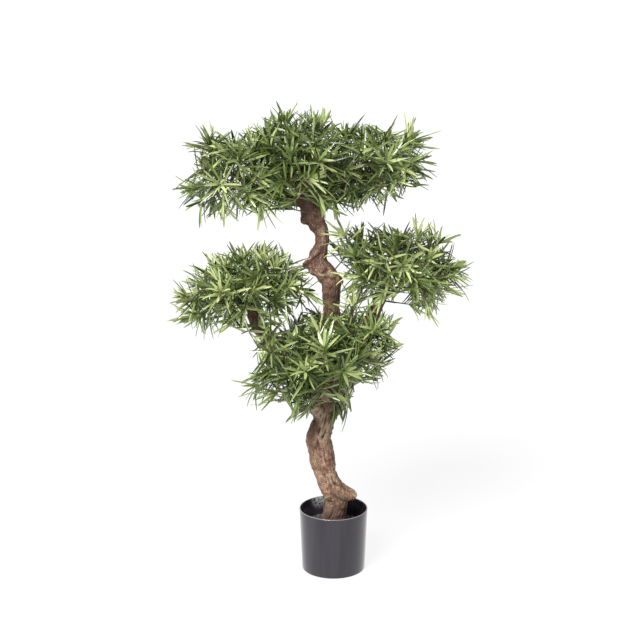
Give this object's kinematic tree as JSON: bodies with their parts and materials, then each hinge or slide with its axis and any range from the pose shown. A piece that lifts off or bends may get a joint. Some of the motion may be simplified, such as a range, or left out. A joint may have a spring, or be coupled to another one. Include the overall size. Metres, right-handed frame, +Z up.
{
  "type": "artificial podocarpus tree",
  "caption": "Artificial podocarpus in bonsai style: a gnarled, leaning trunk with spreading boughs, separate pads of long narrow leaves and a plain round pot it stands in.",
  "frame": {"origin": "centre of the pot's flat underside", "axes": "+Z up, +X to the right of the tree seen from its front, -Y towards its front"},
  "size_m": [0.6807, 0.373, 1.0905],
  "materials": {
    "bark": "moulded imitation bark, reddish brown with pinkish tan patches, matte",
    "leaves": "satin green plastic leaves, some of them lighter new growth",
    "pot": "charcoal moulded plastic, semi-gloss",
    "fill": "dark set filling with grey grit"
  },
  "bodies": {
    "root": {"pot": "pot", "soil": "fill", "trunk": "bark", "bough_left": "bark", "bough_right": "bark", "bough_low_left": "bark", "bough_low_front": "bark", "bough_low_right": "bark", "bough_low_back": "bark", "bough_crown_left": "bark", "bough_crown_right": "bark", "bough_crown_front": "bark", "bough_crown_back": "bark", "crown_top": "leaves", "crown_front": "leaves", "crown_back": "leaves", "crown_left": "leaves", "crown_right": "leaves", "left_front": "leaves", "left_back": "leaves", "right_front": "leaves", "right_back": "leaves", "low_left": "leaves", "low_front": "leaves", "low_right": "leaves", "low_back": "leaves"}
  },
  "joints": []
}
